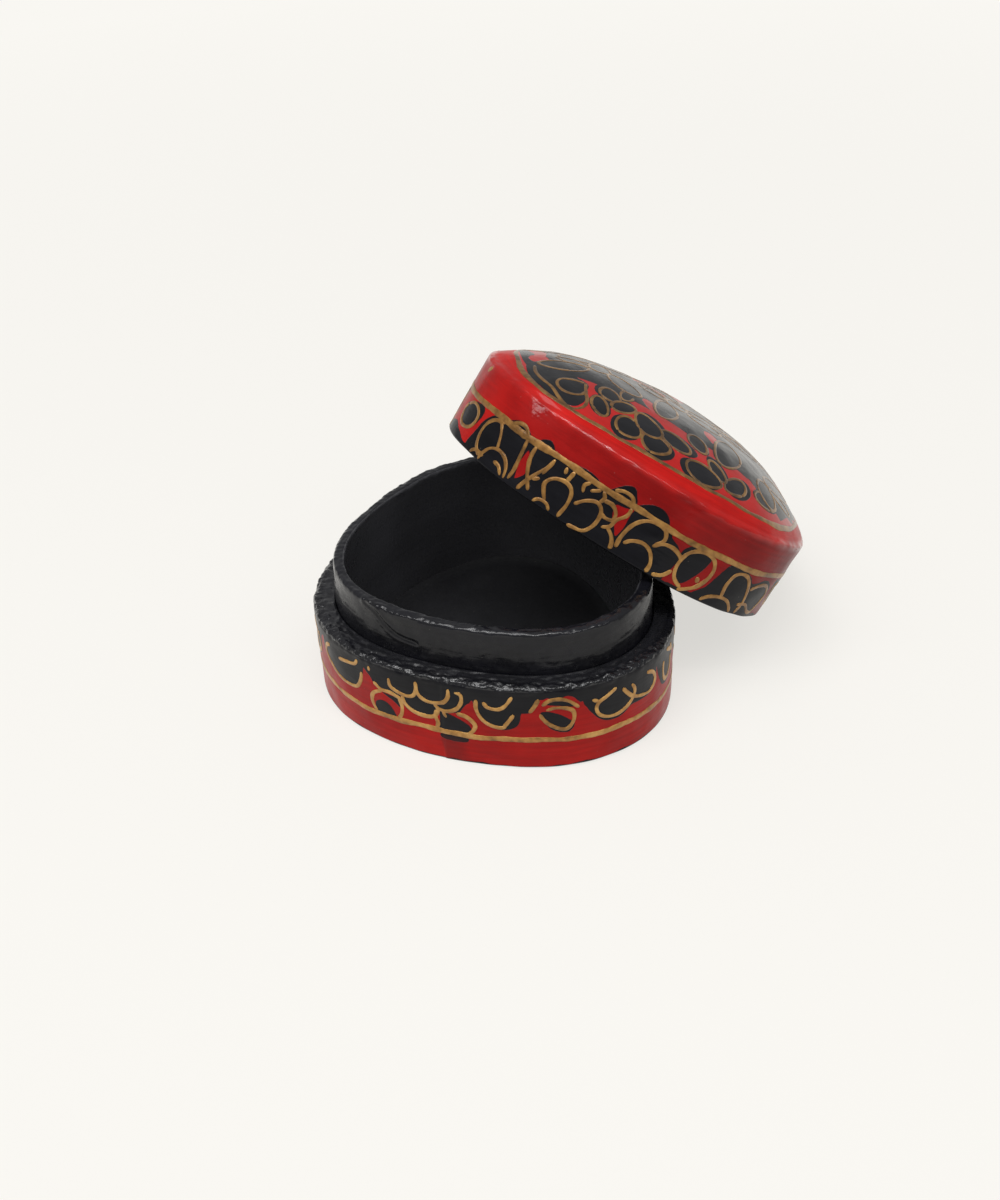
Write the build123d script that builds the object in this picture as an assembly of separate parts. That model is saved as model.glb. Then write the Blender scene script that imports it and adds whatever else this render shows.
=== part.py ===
from build123d import *
from math import atan2, cos, degrees, hypot, pi, radians, sin
import os

os.makedirs("parts", exist_ok=True)

# A small lacquered papier mache box on a soft three-cornered oval plan, its lid off and leaning on it.
# Millimetres. Z is up and 0 is the table, the origin is the middle of the base, Y is the plan's longer way.

# Plan of the outer faces of base and lid
oval_length = 73.6
oval_width = 66.4
corner_pull = 2.3
outline_points = 24

# Base: floor board, outer band and the neck band that stands up inside it
floor_thickness = 2.2
ledge_height = 18.3
ledge_width = 4.2
foot_draw_in = 0.5
foot_round = 0.5
worn_edge = 1.1
neck_rise = 8.6
neck_thickness = 2.4
neck_draw_in = 0.2
neck_edge_round = 0.5
glue_gap = 0.1

# Lid: side band and domed crown
lid_side_height = 16.0
lid_side_flare = 0.2
rim_round = 0.4
crown_edge = 1.5
crown_rise = 9.2
crown_fullness = 2.97
crown_thickness = 2.8
crown_flat = 0.08
crown_rings = 7
lid_clearance = 0.4

# How the lid leans: its middle in plan, the way it tips and how far it is turned from the base
lid_shift_x = 26.9
lid_shift_y = 9.0
lean_heading = 8.3
lid_turn = 110.0
table_gap = 0.2
lean_gap = 0.3

# Derived
mean_radius = (oval_length + oval_width) / 4
stretch = (oval_length - oval_width) / 4
neck_top = ledge_height + neck_rise
neck_inner_inset = ledge_width + neck_thickness
lid_side_thickness = ledge_width - lid_clearance
skirt_height = lid_side_height - crown_edge

# A cutting shape runs past the faces it opens by this much
cut_over = 1.0

# A rounded edge passes through points of its quarter circle, this share of the radius short of the corner
arc_third = 0.13
arc_two_thirds = 0.5
arc_middle = 0.3

# The lean is found by halving between two tilts in degrees, tried against points all round the base
least_tilt = 15.0
most_tilt = 75.0
tilt_halvings = 20
rim_tries = 720
edge_tries = 360


def outline_radius(angle):
    """Distance from the middle to the outer face: a stretched circle pulled out at three corners."""
    return mean_radius - stretch * cos(2 * angle) - corner_pull * cos(3 * angle)


def outline_slope(angle):
    """How fast that distance grows with the angle."""
    return 2 * stretch * sin(2 * angle) + 3 * corner_pull * sin(3 * angle)


def outline_point(angle, inset):
    """A point of the plan, moved inwards by the inset square to the outline."""
    radius = outline_radius(angle)
    slope = outline_slope(angle)
    length = hypot(radius, slope)
    along = radius - inset * radius / length
    across = inset * slope / length
    return (
        along * cos(angle) - across * sin(angle),
        along * sin(angle) + across * cos(angle),
    )


def ring(inset, z, scale=1.0):
    """The closed curve of the plan at one height, drawn in by the inset and then scaled."""
    points = []
    for i in range(outline_points):
        x, y = outline_point(2 * pi * i / outline_points, inset)
        points.append((scale * x, scale * y, z))
    return Wire(Spline(*points, periodic=True))


def stack(profile):
    """A solid whose sides pass through the rings of a profile given as inset and height."""
    rings = [ring(inset, z) for inset, z in profile]
    return Solid.make_loft(rings, ruled=True)


def band(outside, inside):
    """A wall that follows the plan, between an outer and an inner profile."""
    first = inside[0]
    last = inside[-1]
    opening = [(first[0], first[1] - cut_over)] + inside + [(last[0], last[1] + cut_over)]
    return stack(outside) - stack(opening)


def dome(inset, seat, spring, rise):
    """A cushion from a flat seat: upright to the spring line, then domed to its rise."""
    upright = stack([(inset, seat), (inset, spring)])
    curve = []
    for i in range(crown_rings + 1):
        scale = 1 - (1 - crown_flat) * i / crown_rings
        height = spring + rise * (1 - scale ** crown_fullness)
        curve.append(ring(inset, height, scale))
    return upright + Solid.make_loft(curve, ruled=False)


# Section of the base's outer face, from the table up to the worn edge of the ledge
wall_foot_inset = foot_draw_in * (1 - floor_thickness / ledge_height)
wall_outside = [
    (wall_foot_inset, floor_thickness),
    (0, ledge_height - worn_edge),
    (arc_third * worn_edge, ledge_height - arc_two_thirds * worn_edge),
    (arc_two_thirds * worn_edge, ledge_height - arc_third * worn_edge),
    (worn_edge, ledge_height),
]
wall_inner_inset = ledge_width - glue_gap

neck_outside = [
    (ledge_width, floor_thickness),
    (ledge_width, ledge_height),
    (ledge_width + neck_draw_in, neck_top - neck_edge_round),
    (ledge_width + neck_draw_in + arc_middle * neck_edge_round, neck_top - arc_middle * neck_edge_round),
    (ledge_width + neck_draw_in + neck_edge_round, neck_top),
]
neck_inside = [
    (neck_inner_inset, floor_thickness),
    (neck_inner_inset, neck_top - neck_edge_round),
    (neck_inner_inset - neck_edge_round / 2, neck_top),
]

base_floor = stack([
    (foot_draw_in + foot_round, 0),
    (foot_draw_in + arc_middle * foot_round, arc_middle * foot_round),
    (foot_draw_in, foot_round),
    (wall_foot_inset, floor_thickness),
])
base_wall = band(wall_outside, [(wall_inner_inset, floor_thickness), (wall_inner_inset, ledge_height)])
base_neck = band(neck_outside, neck_inside)

# Lid, drawn level with its rim at height 0
skirt_outside = [
    (rim_round, 0),
    (arc_middle * rim_round, arc_middle * rim_round),
    (0, rim_round),
    (-lid_side_flare * skirt_height / lid_side_height, skirt_height),
]
skirt_inside = [
    (lid_side_thickness - rim_round, 0),
    (lid_side_thickness, rim_round),
    (lid_side_thickness, skirt_height),
]
lid_skirt = band(skirt_outside, skirt_inside)
lid_crown = (
    dome(-lid_side_flare, skirt_height, lid_side_height, crown_rise)
    - dome(lid_side_thickness, skirt_height - cut_over, skirt_height, crown_rise + crown_edge - crown_thickness)
)


def turned_reach():
    """How far the rim's outer edge reaches from the lid's middle along the way the lid tips."""
    reach = 0
    for i in range(rim_tries):
        angle = 2 * pi * i / rim_tries
        reach = max(reach, outline_radius(angle) * cos(angle + radians(lid_turn - lean_heading)))
    return reach


def section_gap(point, tilt, middle_height):
    """Gap from a point of the base to the lid's side band, taken in the band's own section."""
    heading = radians(lean_heading)
    x = point[0] - lid_shift_x
    y = point[1] - lid_shift_y
    z = point[2] - middle_height
    forward = x * cos(heading) + y * sin(heading)
    sideways = -x * sin(heading) + y * cos(heading)
    u = forward * cos(tilt) - z * sin(tilt)
    w = forward * sin(tilt) + z * cos(tilt)
    angle = atan2(sideways, u) - radians(lid_turn) + heading
    radius = outline_radius(angle)
    depth = (radius - hypot(u, sideways)) * radius / hypot(radius, outline_slope(angle))
    beside = max(-depth, depth - lid_side_thickness, 0)
    beyond = max(-w, w - lid_side_height, 0)
    return hypot(beside, beyond) if beside or beyond else -1


def base_edge_points():
    """Points along the top edges of the neck and the ledge, the places the lid can come to lie on."""
    edges = neck_outside[2:] + neck_inside[2:] + wall_outside[1:]
    points = []
    for i in range(edge_tries):
        for inset, z in edges:
            x, y = outline_point(2 * pi * i / edge_tries, inset)
            points.append((x, y, z))
    return points


def lean_angle():
    """The least tilt that keeps the leaning lid's gap over the base, its low end held at the table."""
    points = base_edge_points()
    reach = turned_reach()
    low = radians(least_tilt)
    high = radians(most_tilt)
    for _ in range(tilt_halvings):
        middle = (low + high) / 2
        height = table_gap + reach * sin(middle)
        if min(section_gap(point, middle, height) for point in points) < lean_gap:
            low = middle
        else:
            high = middle
    return high, table_gap + reach * sin(high)


tilt, middle_height = lean_angle()
lean = (
    Pos(lid_shift_x, lid_shift_y, middle_height)
    * Rot(0, 0, lean_heading)
    * Rot(0, degrees(tilt), 0)
    * Rot(0, 0, lid_turn - lean_heading)
)

pieces = {
    "base_floor": base_floor,
    "base_wall": base_wall,
    "base_neck": base_neck,
    "lid_skirt": lean * lid_skirt,
    "lid_crown": lean * lid_crown,
}
for name, shape in pieces.items():
    export_step(shape, "parts/" + name + ".step")
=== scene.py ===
"""Looks of a small papier mache box: pulp board, red and black lacquer, petals outlined in bronze paint."""

import bpy
import numpy as np
from mathutils import Matrix


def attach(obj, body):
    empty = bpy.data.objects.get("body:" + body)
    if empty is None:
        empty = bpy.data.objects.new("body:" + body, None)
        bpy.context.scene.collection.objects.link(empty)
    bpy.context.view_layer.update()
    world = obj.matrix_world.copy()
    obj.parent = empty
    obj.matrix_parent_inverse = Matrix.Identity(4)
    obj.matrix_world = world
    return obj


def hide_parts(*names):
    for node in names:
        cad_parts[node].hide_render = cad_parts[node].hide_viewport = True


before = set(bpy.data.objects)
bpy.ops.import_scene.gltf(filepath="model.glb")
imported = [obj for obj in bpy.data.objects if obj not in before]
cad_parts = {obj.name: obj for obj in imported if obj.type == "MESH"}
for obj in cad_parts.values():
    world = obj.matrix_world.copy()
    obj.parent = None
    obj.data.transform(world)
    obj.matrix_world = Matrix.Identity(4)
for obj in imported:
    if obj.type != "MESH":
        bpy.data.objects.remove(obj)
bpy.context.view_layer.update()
MM = 0.001

# Plan of the box and its sections, in millimetres, as in the construction model
OVAL_LENGTH, OVAL_WIDTH, CORNER_PULL = 73.6, 66.4, 2.3
FLOOR_THICKNESS, LEDGE_HEIGHT, LEDGE_WIDTH, FOOT_DRAW_IN = 2.2, 18.3, 4.2, 0.5
NECK_TOP, NECK_THICKNESS, NECK_DRAW_IN = 26.9, 2.4, 0.2
SIDE_HEIGHT, SIDE_FLARE, SIDE_THICKNESS = 16.0, 0.2, 3.8
CROWN_RISE, CROWN_FULLNESS, CROWN_THICKNESS = 9.2, 2.97, 2.8
MEAN = (OVAL_LENGTH + OVAL_WIDTH) / 4
STRETCH = (OVAL_LENGTH - OVAL_WIDTH) / 4

# How the lid leans: its middle in plan, the way it tips, its turn from the base and its tilt, in degrees
LID_SHIFT = (26.9, 9.0)
LEAN_HEADING, LID_TURN, LID_TILT, TABLE_GAP = 8.3, 110.0, 36.31, 0.2

# Camera as fitted to the photograph: place in millimetres and the directions of its right and up
CAMERA_PLACE = (-72.36, -258.90, 196.63)
CAMERA_RIGHT = (0.95615, -0.29113, -0.03197)
CAMERA_UP = (0.18948, 0.53166, 0.82549)
FOCAL_PIXELS, IMAGE_HEIGHT = 1680.6, 1200


# Plan

def plan_radius(angle):
    """Distance from the middle to the outer face: a stretched circle pulled out at three corners."""
    return MEAN - STRETCH * np.cos(2 * angle) - CORNER_PULL * np.cos(3 * angle)


def plan_slope(angle):
    """How fast that distance grows with the angle."""
    return 2 * STRETCH * np.sin(2 * angle) + 3 * CORNER_PULL * np.sin(3 * angle)


def plan_point(angle, inset):
    """x and y of the outline at each angle, moved inwards by the inset square to the outline."""
    radius, slope = plan_radius(angle), plan_slope(angle)
    length = np.hypot(radius, slope)
    along, across = radius - inset * radius / length, inset * slope / length
    x = along * np.cos(angle) - across * np.sin(angle)
    y = along * np.sin(angle) + across * np.cos(angle)
    return x, y


FINE_ANGLES = np.linspace(0, 2 * np.pi, 7201)
FINE_STEPS = np.hypot(*(np.diff(c) for c in plan_point(FINE_ANGLES, 0)))
RUN = np.concatenate([[0], np.cumsum(FINE_STEPS)])
PERIMETER = RUN[-1]


def angle_at(run):
    """Angle of the plan at a length run along the outline from the X axis, going round and round."""
    return np.interp(np.mod(run, PERIMETER), RUN, FINE_ANGLES)


# Placing the lid

def turn_z(degrees):
    """Rotation matrix about Z."""
    c, s = np.cos(np.radians(degrees)), np.sin(np.radians(degrees))
    return np.array([[c, -s, 0], [s, c, 0], [0, 0, 1]])


def turn_y(degrees):
    """Rotation matrix about Y."""
    c, s = np.cos(np.radians(degrees)), np.sin(np.radians(degrees))
    return np.array([[c, 0, s], [0, 1, 0], [-s, 0, c]])


LEAN = turn_z(LEAN_HEADING) @ turn_y(LID_TILT) @ turn_z(LID_TURN - LEAN_HEADING)
REACH = np.max(plan_radius(FINE_ANGLES) * np.cos(FINE_ANGLES + np.radians(LID_TURN - LEAN_HEADING)))
LID_MIDDLE = np.array([*LID_SHIFT, TABLE_GAP + REACH * np.sin(np.radians(LID_TILT))])


def leaning(points):
    """Points of the level lid, carried to where the lid leans: turned, tilted and moved."""
    return points @ LEAN.T + LID_MIDDLE


def upright(points):
    """Points of the base, which stands as it was drawn."""
    return points


# Meshes

def make_mesh(name, points, quads, triangles, fields=None):
    """A mesh object from points in millimetres, turned to face outwards by the sign of its volume."""
    a, b, c = (points[quads[:, i]] for i in (0, 1, 2))
    d = points[quads[:, 3]]
    volume = np.sum(a * np.cross(b, c)) + np.sum(a * np.cross(c, d))
    if len(triangles):
        a, b, c = (points[triangles[:, i]] for i in (0, 1, 2))
        volume += np.sum(a * np.cross(b, c))
    if volume < 0:
        quads, triangles = quads[:, ::-1], triangles[:, ::-1]
    mesh = bpy.data.meshes.new(name)
    mesh.vertices.add(len(points))
    mesh.vertices.foreach_set("co", (points * MM).astype(np.float32).ravel())
    corners = np.concatenate([quads.ravel(), triangles.ravel()]).astype(np.int32)
    sides = np.concatenate([np.full(len(quads), 4), np.full(len(triangles), 3)])
    starts = np.concatenate([[0], np.cumsum(sides)[:-1]]).astype(np.int32)
    mesh.loops.add(len(corners))
    mesh.loops.foreach_set("vertex_index", corners)
    mesh.polygons.add(len(sides))
    mesh.polygons.foreach_set("loop_start", starts)
    mesh.polygons.foreach_set("use_smooth", np.ones(len(sides), dtype=bool))
    for field, values in (fields or {}).items():
        kind, key = ("FLOAT_VECTOR", "vector") if values.size == 3 * len(points) else ("FLOAT", "value")
        mesh.attributes.new(field, kind, "POINT").data.foreach_set(key, values.astype(np.float32).ravel())
    mesh.update(calc_edges=True)
    mesh.validate()
    made = bpy.data.objects.new(name, mesh)
    bpy.context.scene.collection.objects.link(made)
    return made


def grid_faces(rows, columns, closed_columns):
    """Quads of a grid that closes round its rows and, if asked, round its columns."""
    i = np.arange(rows)[:, None]
    j = np.arange(columns if closed_columns else columns - 1)[None, :]
    k, m = (i + 1) % rows, (j + 1) % columns
    corners = [i * columns + j, k * columns + j, k * columns + m, i * columns + m]
    return np.stack([np.broadcast_to(c, (rows, j.size)).ravel() for c in corners], -1)


def closed_band(name, points, fields=None):
    """A ring of closed sections: points[around, along the section]."""
    rows, columns = points.shape[:2]
    quads = grid_faces(rows, columns, True)
    return make_mesh(name, points.reshape(-1, 3), quads, np.zeros((0, 3), int), fields)


def closed_disc(name, points, fields=None):
    """A board whose section runs from a pole on top round the edge to a pole below, points[around, along]."""
    rows, columns = points.shape[:2]
    flat = np.concatenate([points.reshape(-1, 3), [points[:, 0].mean(0)], [points[:, -1].mean(0)]])
    quads = grid_faces(rows, columns, False)
    i = np.arange(rows)
    k = (i + 1) % rows
    top, bottom = rows * columns, rows * columns + 1
    first = np.stack([k * columns, i * columns, np.full(rows, top)], -1)
    last = np.stack([i * columns + columns - 1, k * columns + columns - 1, np.full(rows, bottom)], -1)
    full = {}
    for field, values in (fields or {}).items():
        full[field] = np.concatenate([values.reshape(rows * columns, -1),
                                      [values[:, 0].mean(0, keepdims=values.ndim < 3)],
                                      [values[:, -1].mean(0, keepdims=values.ndim < 3)]])
    return make_mesh(name, flat, quads, np.concatenate([first, last]), full)


def section(corners, rounds, steps):
    """A closed section as (out, up) pairs: sides sampled at their steps, corners eased by quadratics."""
    corners, rounds = np.array(corners, float), np.array(rounds, float)
    before, after = np.roll(corners, 1, 0), np.roll(corners, -1, 0)
    into = (before - corners) / np.linalg.norm(before - corners, axis=1)[:, None]
    out = (after - corners) / np.linalg.norm(after - corners, axis=1)[:, None]
    starts, ends = corners + into * rounds[:, None], corners + out * rounds[:, None]
    pieces = []
    for i, step in enumerate(steps):
        t = np.linspace(0, 1, 9 if rounds[i] > 0.2 else 1)[:, None]
        pieces.append((1 - t) ** 2 * starts[i] + 2 * t * (1 - t) * corners[i] + t ** 2 * ends[i])
        next_start = starts[(i + 1) % len(corners)]
        count = int(np.linalg.norm(next_start - ends[i]) / step)
        t = np.linspace(0, 1, max(2, count + 1))[1:-1, None]
        pieces.append(ends[i] + t * (next_start - ends[i]))
    return np.concatenate(pieces)


def section_normals(path):
    """Unit normals of a closed section, square to the line between each point's neighbours."""
    ahead = np.roll(path, -1, 0) - np.roll(path, 1, 0)
    ahead /= np.linalg.norm(ahead, axis=1)[:, None]
    return np.stack([ahead[:, 1], -ahead[:, 0]], -1)


def carried(path, rows):
    """A section carried round the plan: points[around, along], their brushed places, runs and heights.

    The brushed place is the outline's x and y with the length along the section as its third part, so a
    pattern stretched along the first two runs the way the band was brushed.
    """
    run = (np.arange(rows) * PERIMETER / rows)[:, None]
    angle = angle_at(run)
    x, y = plan_point(angle, -path[None, :, 0])
    up = np.broadcast_to(path[None, :, 1], x.shape)
    points = np.stack([x, y, up], -1)
    along = np.concatenate([[0], np.cumsum(np.linalg.norm(np.diff(path, axis=0), axis=1))])
    edge_x, edge_y = plan_point(angle, 0)
    brushed = np.stack(np.broadcast_arrays(edge_x, edge_y, along[None, :]), -1)
    return points, brushed, run, up


def stood_off(path, run, up, wave, drawn_in=0.0):
    """A carried section moved by the wave, square to the section, and drawn in along the plan."""
    out, rise = section_normals(path).T
    x, y = plan_point(angle_at(run), drawn_in - (path[:, 0] + out * wave))
    return np.stack([x, y, up + rise * wave], -1)


def hand_wave(points, size, seed, terms=14):
    """Unevenness of -1 to 1 with bumps of about the size: a sum of plane sine waves in mixed directions."""
    draw = np.random.default_rng(seed)
    total = 0
    for _ in range(terms):
        way = draw.normal(size=3)
        way *= 2 * np.pi / (size * draw.uniform(0.7, 1.6) * np.linalg.norm(way))
        total = total + np.sin(points @ way + draw.uniform(0, 2 * np.pi))
    return total / np.sqrt(2 * terms)


def waves(points, *kinds):
    """Unevenness in millimetres: a sum of hand waves, each given as its height, size, seed and terms."""
    return sum(height * hand_wave(points, *kind) for height, *kind in kinds)


def streaks(brushed, length, width, seed, terms):
    """Unevenness of -1 to 1 in streaks along the band, of about this length and width."""
    return hand_wave(brushed / [length, length, width], 1.0, seed, terms)


def smooth_step(low, high, value):
    """0 below low, 1 above high and an S curve between."""
    t = np.clip((value - low) / (high - low), 0, 1)
    return t * t * (3 - 2 * t)


def bell(value, middle, width):
    """1 at the middle, falling off to both sides as a bell curve of this half width."""
    return np.exp(-((value - middle) / width) ** 2)


# Faces that carry the painting
# Each takes places on the face and gives points in millimetres.

# Hand-made waves of the faces, as height, size and seed
BASE_WAVES = (0.10, 16, 3), (0.04, 5, 4)
LID_WAVES = (0.10, 17, 5), (0.04, 5, 6)
CROWN_WAVES = (0.12, 14, 7), (0.05, 5, 8)
# Runs at which the painting of base and lid begins, and where the base's band laps over itself
BASE_FIRST, LID_FIRST = 93.95, 26.75
LAP_PLACE, LAP_RISE = BASE_FIRST + 50.4, 0.10


def lap_step(run):
    """How far the base's band stands out where its end laps over its start: a step that dies away again."""
    past_lap = np.mod(run, PERIMETER) - LAP_PLACE
    return LAP_RISE * smooth_step(0, 0.5, past_lap) * smooth_step(14, 5, past_lap)


def upright_face(run, up, inset, kinds, step=0.0):
    """The outline drawn in by the inset, then stood out along its own normal by its waves and a step."""
    angle = angle_at(run)
    x, y = plan_point(angle, inset)
    lift = waves(np.stack([x, y, up], -1), *kinds) + step
    radius, slope = plan_radius(angle), plan_slope(angle)
    length = np.hypot(radius, slope)
    out_x = (radius * np.cos(angle) + slope * np.sin(angle)) / length
    out_y = (radius * np.sin(angle) - slope * np.cos(angle)) / length
    return np.stack([x + lift * out_x, y + lift * out_y, up], -1)


def base_side(run, up):
    """The base's outer face: the outline, drawn in a little towards the foot."""
    return upright_face(run, up, FOOT_DRAW_IN * (1 - up / LEDGE_HEIGHT), BASE_WAVES, lap_step(run))


def lid_side(run, up):
    """The level lid's side: the outline, flared a little upwards."""
    return upright_face(run, up, -SIDE_FLARE * up / SIDE_HEIGHT, LID_WAVES)


def crown_height(x, y):
    """Height of the domed crown over the lid's side: the rise, less a power of the share of the way out."""
    angle = np.arctan2(y, x)
    share = np.clip(np.hypot(x, y) / (plan_radius(angle) + SIDE_FLARE), 0, 1)
    return SIDE_HEIGHT + CROWN_RISE * (1 - share ** CROWN_FULLNESS)


def lid_top(x, y):
    """The level lid's domed top over its plan."""
    points = np.stack([x, y, crown_height(x, y)], -1)
    points[..., 2] += waves(points, *CROWN_WAVES)
    return points


# Petals and brush lines

# Steps along a brush line and sides of its section
BRUSH_STEP, LINE_SIDES = 0.28, 8
# How much a petal narrows to one end, how far its black reaches past it and is drawn out to one side
PETAL_NARROW, PETAL_MARGIN, PETAL_SHADE = 0.1, 0.45, 0.9
# Depths inside the black paint are kept within this, and no place on the crown is as far off as FAR
DEPTH_LIMIT, FAR = 2.0, 1e4


class Petal:
    """One painted petal: an oval narrowed to one end, at a place on its face, in millimetres and degrees."""

    def __init__(self, x, y, half_width, half_height, turn, shade):
        self.x, self.y, self.w, self.h = x, y, half_width, half_height
        self.turn, self.shade = np.radians(turn), shade

    def distance(self, x, y):
        """First-order distance from places to the petal's outline, negative inside."""
        dx, dy = x - self.x, y - self.y
        c, s = np.cos(self.turn), np.sin(self.turn)
        u, v = (dx * c + dy * s) / self.w, (-dx * s + dy * c) / self.h
        u = u / np.clip(1 - PETAL_NARROW * v, 0.4, 2)
        share = np.hypot(u, v)
        return (share - 1) * share / np.sqrt((u / self.w) ** 2 + (v / self.h) ** 2 + 1e-6)

    def outline(self, draw):
        """The brush's path once round the petal, with the hand's slow wobble."""
        size = 2 * np.pi * np.sqrt((self.w ** 2 + self.h ** 2) / 2)
        turn = 2 * np.pi * np.linspace(0, 1, max(12, int(size / BRUSH_STEP)))
        wobble = 1
        for height, times in ((0.035, 2), (0.025, 3)):
            wobble = wobble + height * np.sin(times * turn + draw.uniform(0, 6))
        v = np.cos(turn) * wobble
        u = np.sin(turn) * wobble * (1 - PETAL_NARROW * v)
        c, s = np.cos(self.turn), np.sin(self.turn)
        x = self.x + u * self.w * c - v * self.h * s
        y = self.y + u * self.w * s + v * self.h * c
        return np.stack([x, y], -1)


def visible_runs(seen):
    """Start and stop of each stretch of a line that is seen."""
    edges = np.diff(np.concatenate([[0], seen.astype(int), [0]]))
    return list(zip(np.flatnonzero(edges == 1), np.flatnonzero(edges == -1)))


def flattened(value, power):
    """A cosine or sine drawn out towards 1 by a power, which squares an oval section."""
    return np.sign(value) * np.abs(value) ** power


def brush_lines(name, face, place, lines):
    """Raised lines of paint on a face: a flattened oval section carried along each path, thin at its ends."""
    section_turn = np.arange(LINE_SIDES) * 2 * np.pi / LINE_SIDES
    points, quads, triangles, count = [], [], [], 0
    for path, width, height, closed in lines:
        n = len(path)
        at = face(path[:, 0], path[:, 1])
        small = 0.02
        along_x = face(path[:, 0] + small, path[:, 1]) - face(path[:, 0] - small, path[:, 1])
        along_y = face(path[:, 0], path[:, 1] + small) - face(path[:, 0], path[:, 1] - small)
        normal = np.cross(along_x, along_y)
        normal /= np.linalg.norm(normal, axis=1)[:, None]
        tangent = np.roll(at, -1, 0) - np.roll(at, 1, 0) if closed else np.gradient(at, axis=0)
        tangent /= np.linalg.norm(tangent, axis=1)[:, None]
        side = np.cross(normal, tangent)
        step = np.arange(n)
        taper = np.ones(n) if closed else smooth_step(-1.2, 1.6, step) * smooth_step(-1.2, 1.6, n - 1 - step)
        uneven = 1 + 0.16 * hand_wave(at, 4.0, 21) + 0.08 * hand_wave(at, 1.4, 22)
        half = (width / 2 * taper * uneven)[:, None, None]
        tall = (height * taper ** 0.5 * (0.8 + 0.2 * uneven))[:, None, None]
        ring = (at[:, None] + side[:, None] * flattened(np.cos(section_turn), 0.6)[None, :, None] * half
                + normal[:, None] * flattened(np.sin(section_turn), 0.5)[None, :, None] * tall)
        points.append(ring.reshape(-1, 3))
        i = np.arange(n if closed else n - 1)[:, None]
        j = np.arange(LINE_SIDES)[None, :]
        k, m = (i + 1) % n, (j + 1) % LINE_SIDES
        here, next_on = i * LINE_SIDES, k * LINE_SIDES
        corners = np.broadcast_arrays(here + j, here + m, next_on + m, next_on + j)
        quads.append(count + np.stack([c.ravel() for c in corners], -1))
        count += LINE_SIDES * n
        if not closed:
            points.append(ring[[0, -1]].mean(1))
            j, m = j[0], m[0]
            first, last = count - LINE_SIDES * n, count - LINE_SIDES
            triangles.append(np.stack([first + m, first + j, np.full(LINE_SIDES, count)], -1))
            triangles.append(np.stack([last + j, last + m, np.full(LINE_SIDES, count + 1)], -1))
            count += 2
    triangles = np.concatenate(triangles) if triangles else np.zeros((0, 3), int)
    return make_mesh(name, place(np.concatenate(points)), np.concatenate(quads), triangles)


def petal_lines(petals, width, height, shown, seed):
    """The lines of the petals' outlines: a petal painted later hides what it covers of the earlier ones."""
    draw = np.random.default_rng(seed)
    lines = []
    for number, petal in enumerate(petals):
        path = petal.outline(draw)
        seen = shown(path[:, 0], path[:, 1])
        for later in petals[number + 1:]:
            seen &= later.distance(path[:, 0], path[:, 1]) > -0.02
        for first, last in visible_runs(seen):
            if last - first > 6:
                lines.append((path[first:last], width, height, False))
    return lines


def painted(petals, x, y):
    """How deep each place lies inside the black paint of the petals, negative outside."""
    depth = np.full(x.shape, -DEPTH_LIMIT)
    for petal in petals:
        depth = np.maximum(depth, 0.1 - petal.distance(x, y))
        depth = np.maximum(depth, PETAL_MARGIN - petal.distance(x - petal.shade[0], y - petal.shade[1]))
    return depth


# Strokes and grounds of the sides
# A motif is drawn by a few places along each brush stroke and round each patch of black ground,
# in millimetres along the band and up it.

def smooth_path(places, closed=False, step=BRUSH_STEP):
    """A path through a few places: cubics whose slope at each place follows its two neighbours."""
    p = np.array(places, float)
    n = len(p)
    ahead, behind = np.roll(p, -1, 0), np.roll(p, 1, 0)
    slope = (ahead - behind) / 2
    if not closed:
        slope[0], slope[-1] = p[1] - p[0], p[-1] - p[-2]
    pieces = []
    for i in range(n if closed else n - 1):
        j = (i + 1) % n
        t = np.linspace(0, 1, max(2, int(np.linalg.norm(p[j] - p[i]) / step)), endpoint=False)[:, None]
        pieces.append((2 * t ** 3 - 3 * t ** 2 + 1) * p[i] + (t ** 3 - 2 * t ** 2 + t) * slope[i]
                      + (3 * t ** 2 - 2 * t ** 3) * p[j] + (t ** 3 - t ** 2) * slope[j])
    if not closed:
        pieces.append(p[-1:])
    return np.concatenate(pieces)


def depth_in_ground(outline, x, y, around=FAR):
    """How deep places lie inside a closed outline: the least distance to its sides, negative outside.

    Places repeat after the length around, as they do along a band.
    """
    middle = (outline[:, 0].min() + outline[:, 0].max()) / 2
    dx = (x - middle + around / 2) % around - around / 2
    corners = outline - [middle, 0]
    dx, dy = np.broadcast_arrays(dx, y)
    depth = np.full(dx.shape, -DEPTH_LIMIT)
    low, high = corners.min(0) - DEPTH_LIMIT, corners.max(0) + DEPTH_LIMIT
    near = (dx > low[0]) & (dx < high[0]) & (dy > low[1]) & (dy < high[1])
    px, py = dx[near][:, None], dy[near][:, None]
    ax, ay = corners[:, 0][None], corners[:, 1][None]
    bx, by = np.roll(ax, -1), np.roll(ay, -1)
    share = np.clip(((px - ax) * (bx - ax) + (py - ay) * (by - ay))
                    / ((bx - ax) ** 2 + (by - ay) ** 2 + 1e-9), 0, 1)
    away = np.hypot(px - ax - share * (bx - ax), py - ay - share * (by - ay)).min(1)
    crossed = ((ay > py) != (by > py)) & (px < ax + (py - ay) * (bx - ax) / (by - ay + 1e-9))
    depth[near] = np.where(crossed.sum(1) % 2 == 1, away, -away)
    return depth


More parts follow.
